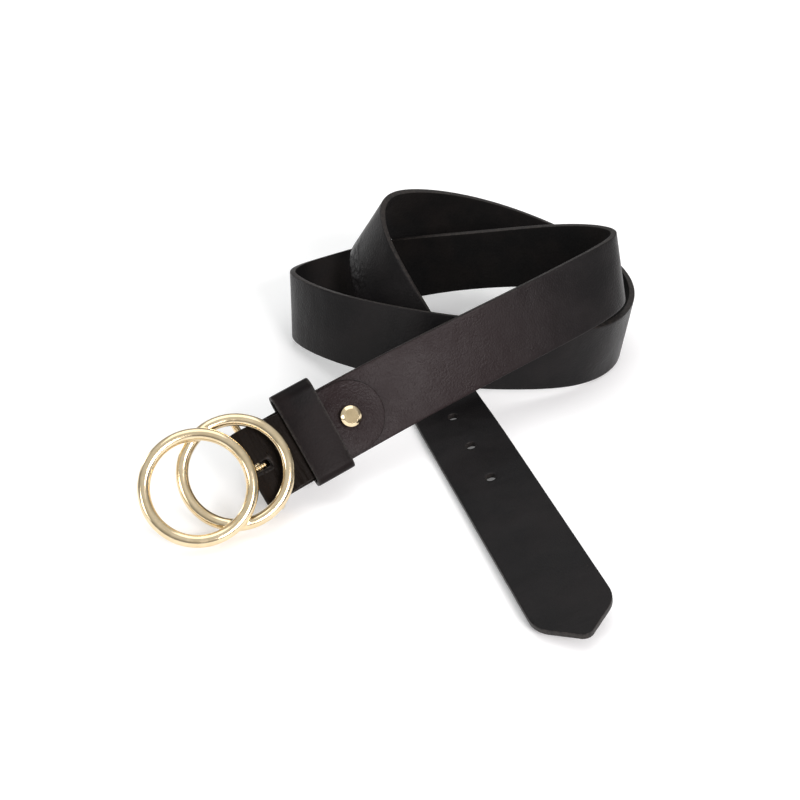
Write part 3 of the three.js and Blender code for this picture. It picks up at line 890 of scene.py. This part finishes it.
    def build(self, grain: bpy.types.Material, flesh: bpy.types.Material, edge: bpy.types.Material,
              fold: bpy.types.Material) -> None:
        """Models the strap and dresses its grain side, its flesh side, its cut edges and its fold."""
        sizes, lay = self.sizes, self.lay
        sheet = self.plan_sheet()
        slot_from = lay.fold_start - (self.slot_depth - sizes.bar_s)
        slot_to = lay.body_start + (self.slot_depth_behind - sizes.bar_s)
        self.cut(sheet, (slot_from + slot_to) / 2, slot_to - slot_from, self.slot_width, sizes.prong_v)
        for index in range(self.hole_count):
            s = sizes.strap_length - self.last_hole_to_tip - index * self.hole_pitch
            self.cut(sheet, lay.body_u(s), self.hole_diameter, self.hole_diameter)
        sheet.modify("SOLIDIFY", thickness=sizes.strap_thickness, offset=0.0)
        sheet.face_outwards()
        sheet.soften_edges(self.edge_bevel)
        plan = sheet.points
        sheet.remember(PLAN, plan)
        u = plan[:, 0]
        round_end = slot_from + self.slot_width / 2
        from_slot = np.hypot(u - round_end, plan[:, 1] - sizes.prong_v) - self.slot_width / 2
        # The lip round the slot's flap-side end is marked as rim too, so it takes the lighter rim colour: a
        # painted highlight where the lip catches light.
        lip = (u < round_end) & (from_slot < self.slot_lip)
        inside_wall = np.abs(plan[:, 2]) < sizes.half_thickness - 0.1 * TOUCHING
        sheet.remember(RIM, (inside_wall | lip).astype(float))
        into_bend = smooth_step(u, lay.rise_start - self.bend_from, lay.rise_start + self.bend_fully)
        out_of_bend = smooth_step(u, lay.body_start + self.bend_to, lay.body_start + self.bend_fully_to)
        sheet.remember(BEND, into_bend * out_of_bend)
        # Mark for the warmer, lighter tone near the buckle: partly handled leather, partly a painted warm
        # sheen.
        sheet.remember(SHEEN_AND_HANDLING, smooth_step(u, self.handling_and_sheen_to, self.handling_and_sheen_fully))
        from_rumple = np.abs(u - lay.body_u(self.rumple_s))
        low_edge = smooth_step(plan[:, 1], -0.1 * sizes.half_width, -0.7 * sizes.half_width)
        rumpled = smooth_step(from_rumple, self.rumple_reach, 0.3 * self.rumple_reach)
        sheet.remember(RUMPLE, low_edge * rumpled)
        sheet.dress(grain, flesh, edge, fold)
        on_grain, on_flesh, on_edge, on_fold = range(4)
        turn_over = (lay.fold_start + lay.body_start) / 2
        # The grain side in the fold takes the fold finish, whose darker colour is painted shade.
        fold_from, fold_to = lay.rise_start - self.fold_leather_from, lay.body_start + sizes.keeper_to_fold
        for face in sheet.obj.data.polygons:
            # Cut edges round the flap take the dark flesh finish: raw leather on its skived edge, and painted
            # shade that draws the thin dark line along the flap's outline.
            if abs(face.normal.z) < 0.9:
                face.material_index = on_edge if face.center.x > lay.rise_start else on_flesh
            elif (face.normal.z > 0) != (face.center.x > turn_over):
                face.material_index = on_flesh
            else:
                face.material_index = on_fold if fold_from < face.center.x < fold_to else on_grain
        sheet.points = self.laid(plan)
        sheet.subdivide_smooth()
        sheet.shade()
        sheet.finish("belt", "leather_strap", "strap")

    def laid(self, plan: np.ndarray) -> np.ndarray:
        """Takes points of the flat strap to their places along the path.

        Args:
            plan: Flat length, place across, and height from the middle of the thickness.

        Returns:
            The points of space.
        """
        sizes, lay = self.sizes, self.lay
        u, v, height = plan.T
        s, w, ds, dw, thickness = lay.at(u)
        radius = lay.flap_round
        to_edge = np.where(u < radius, radius - np.hypot(radius - u, v), radius - np.abs(v))
        skive = np.clip(to_edge / self.flap_skive, 0.0, 1.0)
        skive = np.maximum(skive, smooth_step(u, radius, lay.rise_start))
        thin = self.flap_edge_thickness + (thickness - self.flap_edge_thickness) * skive
        local = np.where(u < lay.rise_start, thin, thickness)
        w = w - np.where(u < lay.rise_start, (thickness - local) / 2, 0.0)
        height = height * local / sizes.strap_thickness
        return self.path.place(s - dw * height, v, w + ds * height)


@dataclass
class Keeper:
    """The leather loop that holds the tail when the belt is worn."""

    sizes: BeltSizes
    path: StrapPath
    thickness: float = 1.8 * MM
    room: float = 0.4 * MM
    room_lower_edge: float = 1.1 * MM
    room_upper_edge: float = 4.5 * MM
    lower_radius: float = 1.5 * MM
    upper_radius: float = 2.5 * MM
    crown: float = 0.55 * MM
    edge_bevel: float = 0.35 * MM
    worn_rim: float = 0.3 * MM
    around: int = 96
    cuts: int = 7

    def outline(self, share: np.ndarray) -> tuple[np.ndarray, np.ndarray]:
        """Returns v and w of the middle of the band's thickness at shares of the way round it."""
        deep = self.thickness / 2
        v_low = -self.sizes.half_width - self.room_lower_edge - deep
        v_high = self.sizes.half_width + self.room_upper_edge + deep
        w_low = -self.sizes.half_thickness - self.room - deep
        w_high = self.sizes.flap_face_w + self.room + deep
        lower, upper = self.lower_radius + deep, self.upper_radius + deep
        corners = ((v_high - upper, w_low + upper, upper, -90), (v_high - upper, w_high - upper, upper, 0),
                   (v_low + lower, w_high - lower, lower, 90), (v_low + lower, w_low + lower, lower, 180))
        points = []
        for v, w, radius, start in corners:
            angles = np.radians(np.linspace(start, start + 90, 24))
            points.append(np.column_stack([v + radius * np.cos(angles), w + radius * np.sin(angles)]))
        ring = np.vstack([*points, points[0][:1]])
        run = np.concatenate([[0.0], np.cumsum(np.linalg.norm(np.diff(ring, axis=0), axis=1))])
        run /= run[-1]
        return np.interp(share, run, ring[:, 0]), np.interp(share, run, ring[:, 1])

    def build(self, leather: bpy.types.Material, edge: bpy.types.Material) -> None:
        """Models the band and dresses its faces and its cut edges."""
        band = Workpiece("keeper_band", bpy.ops.mesh.primitive_cylinder_add, vertices=self.around,
                         radius=1.0, depth=1.0, end_fill_type="NOTHING")
        band.edit(lambda place: abs(place.z) < 0.1, "EDGE",
                  lambda: bpy.ops.mesh.subdivide(number_cuts=self.cuts))
        points = band.points
        share = (np.arctan2(points[:, 1], points[:, 0]) / (2 * np.pi)) % 1.0
        v, w = self.outline(share)
        s = self.sizes.keeper_to_fold + self.sizes.keeper_width * (points[:, 2] + 0.5)
        middle = (self.sizes.flap_face_w - self.sizes.half_thickness) / 2
        outwards = np.clip((w - middle) / (self.sizes.flap_face_w - middle), -0.6, 1.0)
        w = w + self.crown * outwards * (1 - (2 * points[:, 2]) ** 2)
        band.points = np.column_stack([s, v, w])
        band.face_outwards()
        band.modify("SOLIDIFY", thickness=self.thickness, offset=0.0)
        band.soften_edges(self.edge_bevel)
        points = band.points
        band.remember(PLAN, points)
        s_from = self.sizes.keeper_to_fold
        into = np.minimum(points[:, 0] - s_from, s_from + self.sizes.keeper_width - points[:, 0])
        band.remember(RIM, (into < self.worn_rim).astype(float))
        band.dress(leather, edge)
        for face in band.obj.data.polygons:
            face.material_index = int(abs(face.normal.x) > 0.3)
        band.points = self.path.place(*points.T)
        band.subdivide_smooth()
        band.shade()
        band.finish("belt", "leather_keeper", "keeper")


@dataclass
class Stud:
    """The round stud with its flat facet, its post and its disc behind the strap."""

    sizes: BeltSizes
    path: StrapPath
    diameter: float = 8.8 * MM
    facet_diameter: float = 6 * MM
    height: float = 3 * MM
    bevel: float = 1.1 * MM
    post_diameter: float = 3 * MM
    back_diameter: float = 8 * MM
    back_thickness: float = 1 * MM
    sink: float = 0.06 * MM
    sink_inset: float = 0.5 * MM
    sides: int = 64

    def build(self, metal: bpy.types.Material, facet: bpy.types.Material) -> None:
        """Models the head, post and disc as one piece and dresses it, with its own finish on the facet."""
        front = self.sizes.flap_face_w + self.sizes.layer_gap
        back = -self.sizes.half_thickness - self.sizes.layer_gap
        top = front + self.height
        head = Workpiece("stud_head", bpy.ops.mesh.primitive_cylinder_add, vertices=self.sides,
                         radius=self.diameter / 2, depth=self.height,
                         location=(0, 0, front + self.height / 2))
        head.edit(lambda place: place.z > top - TOUCHING, "FACE",
                  lambda: bpy.ops.mesh.inset(thickness=(self.diameter - self.facet_diameter) / 2))
        beyond_facet = self.facet_diameter / 2 + 0.1 * MM
        head.edit(lambda place: place.z > top - TOUCHING and place.xy.length > beyond_facet,
                  "VERT", lambda: bpy.ops.transform.translate(value=(0, 0, -self.bevel)))
        head.edit(lambda place: place.z > top - TOUCHING and place.xy.length < 0.1 * MM, "FACE",
                  lambda: bpy.ops.mesh.inset(thickness=self.sink_inset),
                  lambda: bpy.ops.transform.translate(value=(0, 0, -self.sink)))
        post = Workpiece("stud_post", bpy.ops.mesh.primitive_cylinder_add, vertices=24,
                         radius=self.post_diameter / 2, depth=front - back + MM,
                         location=(0, 0, (front + back) / 2))
        disc = Workpiece("stud_disc", bpy.ops.mesh.primitive_cylinder_add, vertices=self.sides,
                         radius=self.back_diameter / 2, depth=self.back_thickness,
                         location=(0, 0, back - self.back_thickness / 2))
        for part, width in ((head, 0.18 * MM), (disc, 0.25 * MM)):
            part.modify("BEVEL", width=width, segments=3, limit_method="ANGLE", angle_limit=math.radians(25))
        head.join(post, disc)
        head.dress(metal, facet)
        facet_radius = self.facet_diameter / 2 - 0.1 * MM
        for face in head.obj.data.polygons:
            on_facet = face.center.z > top - 0.1 * MM and face.center.xy.length < facet_radius
            face.material_index = int(on_facet)
        head.move(self.path.seat(self.sizes.stud_to_fold))
        head.shade(30)
        head.finish("belt", "gold_stud", "stud")


@dataclass
class DoubleRing:
    """Both rings, soldered where they cross, with the bar in the fold and the two lugs that carry it."""

    sizes: BeltSizes
    path: StrapPath
    ring_room: float = 4.5 * MM
    wire_diameter: float = 5 * MM
    spacing: float = 15.7 * MM
    layer: float = 3.4 * MM
    beyond_fold: float = 4.8 * MM
    offset: float = 1.6 * MM
    slide: float = 2 * MM
    lug_diameter: float = 3.3 * MM
    lug_room: float = 0.3 * MM
    solder: float = 0.28 * MM
    voxel: float = 0.32 * MM
    fitting_rounds: int = 8

    @property
    def wire_radius(self) -> float:
        """Radius of the rings' wire."""
        return self.wire_diameter / 2

    @property
    def ring_radius(self) -> float:
        """Radius of the middle of a ring's wire."""
        return (self.sizes.strap_width + self.ring_room) / 2 + self.wire_radius

    def rings(self) -> list[np.ndarray]:
        """Returns the middles of the rear and the front ring from the bar's seat."""
        rear_w = self.sizes.fold_face_w + self.sizes.layer_gap + self.wire_radius - self.sizes.bar_w
        rear = np.array([-self.beyond_fold - self.sizes.bar_s, self.slide, rear_w])
        return [rear, rear + np.array([-self.spacing, self.offset, self.layer])]

    def rods(self) -> list[tuple[np.ndarray, np.ndarray, float]]:
        """Returns both ends and the radius of the bar and of each lug from the bar's seat.

        A lug rises from the bar's end and leans in to the middle of the rear ring's wire.
        """
        lug_radius = self.lug_diameter / 2
        lug_v = self.sizes.half_width + self.lug_room + self.slide + lug_radius
        rear = self.rings()[0]
        feet = [np.array([0.0, self.slide - lug_v, 0.0]), np.array([0.0, self.slide + lug_v, 0.0])]
        rods = [(feet[0], feet[1], self.sizes.bar_radius)]
        for foot in feet:
            outward = unit((foot - rear) * np.array([1.0, 1.0, 0.0]))
            rods.append((foot, rear + outward * self.ring_radius, lug_radius))
        return rods

    def depth(self, points: np.ndarray) -> np.ndarray:
        """Returns how far points lie outside the soldered metal, which is rounded where parts meet."""
        gaps = []
        for middle in self.rings():
            offset = points - middle
            flat = np.hypot(offset[:, 0], offset[:, 1]) - self.ring_radius
            gaps.append(np.hypot(flat, offset[:, 2]) - self.wire_radius)
        for start, end, radius in self.rods():
            line = end - start
            share = np.clip((points - start) @ line / (line @ line), 0, 1)
            gaps.append(np.linalg.norm(points - start - share[:, None] * line, axis=1) - radius)
        stack = np.array(gaps)
        nearest = stack.min(axis=0)
        return nearest - self.solder * np.log(np.exp((nearest - stack) / self.solder).sum(axis=0))

    def build(self, metal: bpy.types.Material) -> None:
        """Models the rings, bar and lugs as one solid with soldered joins and dresses it."""
        parts = [Workpiece("double_ring", bpy.ops.mesh.primitive_torus_add, major_segments=144,
                           minor_segments=32, major_radius=self.ring_radius, minor_radius=self.wire_radius,
                           location=middle) for middle in self.rings()]
        for start, end, radius in self.rods():
            line = Vector(end - start)
            turn = line.to_track_quat("Z", "Y").to_euler()
            parts.append(Workpiece("rod", bpy.ops.mesh.primitive_cylinder_add, vertices=32, radius=radius,
                                   depth=line.length, location=(start + end) / 2, rotation=turn))
        whole = parts[0]
        whole.join(*parts[1:])
        whole.modify("REMESH", mode="VOXEL", voxel_size=self.voxel)
        whole.modify("SMOOTH", factor=0.5, iterations=4)
        points = whole.points
        small = 0.01 * MM
        for _ in range(self.fitting_rounds):
            gap = self.depth(points)
            slope = np.column_stack([
                (self.depth(points + axis) - self.depth(points - axis)) / (2 * small)
                for axis in np.eye(3) * small])
            points = points - unit(slope) * np.clip(gap, -self.voxel, self.voxel)[:, None]
        whole.points = points
        whole.move(self.path.seat(self.sizes.bar_s, 0.0, self.sizes.bar_w))
        whole.shade()
        whole.dress(metal)
        whole.finish("buckle", "gold_rings", "double_ring_frame")


@dataclass
class Prong:
    """The short ringed pin on its loop round the bar."""

    sizes: BeltSizes
    path: StrapPath
    diameter: float = 2.0 * MM
    reach: float = 5.2 * MM
    rise: float = 1.6 * MM
    loop_wall: float = 1.0 * MM
    loop_width: float = 2.2 * MM
    behind_bar: float = 2.6 * MM
    over_loop: float = 0.4 * MM
    ring_pitch: float = 1.15 * MM
    ring_depth: float = 0.3 * MM
    ring_cuts: int = 63

    def build(self, metal: bpy.types.Material) -> None:
        """Models the pin and its loop as one piece and dresses it."""
        inside = self.sizes.bar_radius + self.sizes.bar_room
        outside = inside + self.loop_wall
        pin_w = outside + self.over_loop
        slope = self.rise / self.reach
        root = Vector((self.behind_bar, 0, pin_w - slope * self.behind_bar))
        tip = Vector((-self.reach, 0, pin_w + self.rise))
        line = tip - root
        pin = Workpiece("prong_pin", bpy.ops.mesh.primitive_cylinder_add, vertices=32,
                        radius=self.diameter / 2, depth=1.0)
        pin.edit(lambda place: abs(place.z) < 0.1, "EDGE",
                 lambda: bpy.ops.mesh.subdivide(number_cuts=self.ring_cuts))
        points = pin.points
        length = line.length + self.diameter / 2
        run = (points[:, 2] + 0.5) * length
        ringed = smooth_step(run, 0.9 * length, 0.8 * length)
        groove = (0.5 + 0.5 * np.cos(2 * np.pi * run / self.ring_pitch)) ** 3
        left = np.clip(length - run, 0, self.diameter / 2) / (self.diameter / 2)
        cap = np.sqrt(np.clip(1 - (1 - left) ** 2, 0.0, 1))
        scale = cap * (1 - ringed * groove * self.ring_depth / (self.diameter / 2))
        pin.points = np.column_stack([points[:, 0] * scale, points[:, 1] * scale, run])
        pin.move(Matrix.Translation(root) @ line.to_track_quat("Z", "Y").to_matrix().to_4x4())
        loop = Workpiece("prong_loop", bpy.ops.mesh.primitive_torus_add, major_segments=48,
                         minor_segments=16, major_radius=(inside + outside) / 2,
                         minor_radius=self.loop_wall / 2, rotation=(math.pi / 2, 0, 0))
        points = loop.points
        points[:, 1] *= self.loop_width / self.loop_wall
        loop.points = points
        pin.join(loop)
        pin.face_outwards()
        pin.move(self.path.seat(self.sizes.bar_s, self.sizes.prong_v, self.sizes.bar_w))
        pin.shade(40)
        pin.dress(metal)
        pin.finish("prong", "gold_prong", "prong")


class SoftLight(NamedTuple):
    """A square soft light that faces the belt."""

    name: str
    place: tuple[float, float, float]
    size: float
    power: float
    tint: tuple[float, float, float] = (1.0, 1.0, 1.0)


@dataclass
class Studio:
    """The pale floor, the soft lights and the camera at the photograph's viewing angle."""

    looks_at: Sequence[float]
    distance: float = 556.7 * MM
    elevation: float = 34.78
    lens: float = 55.13
    floor_size: float = 12.0
    floor_glow: float = 0.15
    horizon: float = 0.24
    overhead: float = 0.70
    lights: tuple[SoftLight, ...] = (
        SoftLight("key", (1.21, -1.74, 1.15), 0.95, 45.0, (1.0, 0.95, 0.96)),
        SoftLight("left", (-1.87, -1.57, 0.89), 0.9, 11.5),
        SoftLight("top", (-0.1, 0.8, 2.25), 2.2, 18.0),
        SoftLight("low", (-2.10, 1.30, 0.30), 0.5, 4.5),
    )

    def camera(self) -> None:
        """Adds the camera."""
        rise = math.radians(self.elevation)
        back = Vector((0, -math.cos(rise), math.sin(rise)))
        data = bpy.data.cameras.new("camera")
        data.lens, data.sensor_width = self.lens, 36.0
        data.clip_start, data.clip_end = 0.01, 20.0
        camera = bpy.data.objects.new("camera", data)
        bpy.context.scene.collection.objects.link(camera)
        camera.location = Vector(self.looks_at) + back * self.distance
        camera.rotation_euler = (-back).to_track_quat("-Z", "Y").to_euler()
        bpy.context.scene.camera = camera

    def floor(self) -> None:
        """Adds the plain pale floor."""
        floor = Workpiece("floor", bpy.ops.mesh.primitive_plane_add, size=self.floor_size)
        material = bpy.data.materials.new("pale_floor")
        material.use_nodes = True
        Canvas(material.node_tree).fill(material.node_tree.nodes["Principled BSDF"], {
            "Base Color": colour(0.935, 0.94, 0.94),
            "Roughness": 0.9,
            "Specular IOR Level": 0.05,
            "Emission Color": colour(1.0, 1.0, 1.0),
            "Emission Strength": self.floor_glow,
        })
        floor.dress(material)

    def hang(self, light: SoftLight) -> None:
        """Adds one soft light."""
        data = bpy.data.lights.new(light.name, "AREA")
        data.shape, data.size, data.energy, data.color = "SQUARE", light.size, light.power, light.tint
        lamp = bpy.data.objects.new(light.name, data)
        bpy.context.scene.collection.objects.link(lamp)
        lamp.location = light.place
        lamp.rotation_euler = (-Vector(light.place)).to_track_quat("-Z", "Y").to_euler()

    def sky(self) -> None:
        """Makes the surroundings bright overhead and greyer near the horizon."""
        world = bpy.data.worlds.new("studio")
        world.use_nodes = True
        canvas = Canvas(world.node_tree)
        background = world.node_tree.nodes["Background"]
        direction = canvas.add("ShaderNodeTexCoord").outputs["Generated"]
        parts = canvas.add("ShaderNodeSeparateXYZ", {"Vector": direction})
        share = canvas.span(parts.outputs["Z"], 0.1, 0.9)
        low, high = (colour(grey, grey, grey) for grey in (self.horizon, self.overhead))
        canvas.fill(background, {"Color": canvas.mix(share, low, high), "Strength": 1.0})
        bpy.context.scene.world = world

    def build(self) -> None:
        """Sets up the whole studio."""
        self.camera()
        self.floor()
        self.sky()
        for light in self.lights:
            self.hang(light)
        bpy.context.scene.view_settings.view_transform = "Standard"


@dataclass
class Finishes:
    """The belt's materials."""

    stud_u: float
    groups: ShaderGroups = field(default_factory=ShaderGroups)

    def __post_init__(self) -> None:
        """Makes every material once."""
        # The grain leather's handled colour is warmer and lighter than its base: partly handled leather near
        # the buckle, partly a painted warm sheen on the flap and the buckle run.
        self.grain = LeatherFinish(
            "black_grain_leather", base=colour(0.0095, 0.0090, 0.0093), drift=colour(0.0135, 0.0122, 0.0124),
            worn_and_lit=colour(0.026, 0.023, 0.022), roughness_low=0.28, roughness_high=0.42, specular=0.085,
            handling_and_sheen=colour(0.0178, 0.0114, 0.0118), stud_u=self.stud_u).build(self.groups)
        # Leather in the fold round the bar: darker, browner and duller than the grain leather. Its darker,
        # browner colour is painted shade of the fold, which lies under the rings.
        self.fold = LeatherFinish(
            "fold_leather_painted_shade", base=colour(0.0085, 0.0064, 0.0052), drift=colour(0.0125, 0.0092, 0.0074),
            worn_and_lit=colour(0.046, 0.040, 0.036), roughness_low=0.44, roughness_high=0.58, specular=0.05,
            stud_u=self.stud_u).build(self.groups)
        self.flesh = LeatherFinish(
            "black_flesh_leather", base=colour(0.0042, 0.0040, 0.0040), drift=colour(0.0090, 0.0074, 0.0068),
            worn_and_lit=colour(0.016, 0.014, 0.012), roughness_low=0.62, roughness_high=0.8, specular=0.1,
            cells=700.0, streaks=1.0).build(self.groups)
        self.edge = LeatherFinish(
            "painted_leather_edge", base=colour(0.010, 0.0095, 0.0095), drift=colour(0.017, 0.015, 0.0145),
            worn_and_lit=colour(0.032, 0.027, 0.024), roughness_low=0.40, roughness_high=0.6, specular=0.2,
            depth=0.05 * MM).build(self.groups)
        self.keeper = LeatherFinish(
            "smooth_black_leather", base=colour(0.0060, 0.0050, 0.0052), drift=colour(0.0115, 0.0085, 0.0085),
            worn_and_lit=colour(0.024, 0.021, 0.019), roughness_low=0.34, roughness_high=0.44, specular=0.06,
            depth=0.05 * MM).build(self.groups)
        self.gold = MetalFinish("pale_gold_plating", colour(0.85, 0.705, 0.475), colour(0.77, 0.625, 0.40),
                                0.13, 0.21).build(self.groups)
        # The stud's facet: rougher than the plating, and darker. The darker colour is painted shade that
        # keeps the key light's reflection on the facet dim.
        self.dim_facet_plating = MetalFinish("dim_facet_plating_shade", colour(0.54, 0.46, 0.31), colour(0.47, 0.40, 0.26),
                                      0.78, 0.9).build(self.groups)


def main() -> None:
    """Builds the belt and its studio in order."""
    logging.basicConfig(level=logging.INFO, format="%(name)s: %(message)s")
    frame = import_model()
    sizes = BeltSizes()
    path = StrapPath(sizes.coil_width, sizes.coil_depth, sizes.strap_width)
    bar = frame["joints"][0]["pos_m"]
    path.settle(sizes.bar_s, sizes.bar_w, bar)
    Studio(path.shift).build()
    lay = StrapLay(sizes)
    finishes = Finishes(stud_u=lay.flap_round)
    Strap(sizes, path, lay).build(finishes.grain, finishes.flesh, finishes.edge, finishes.fold)
    Keeper(sizes, path).build(finishes.keeper, finishes.edge)
    Stud(sizes, path).build(finishes.gold, finishes.dim_facet_plating)
    DoubleRing(sizes, path).build(finishes.gold)
    Prong(sizes, path).build(finishes.gold)


if __name__ == "__main__":
    main()
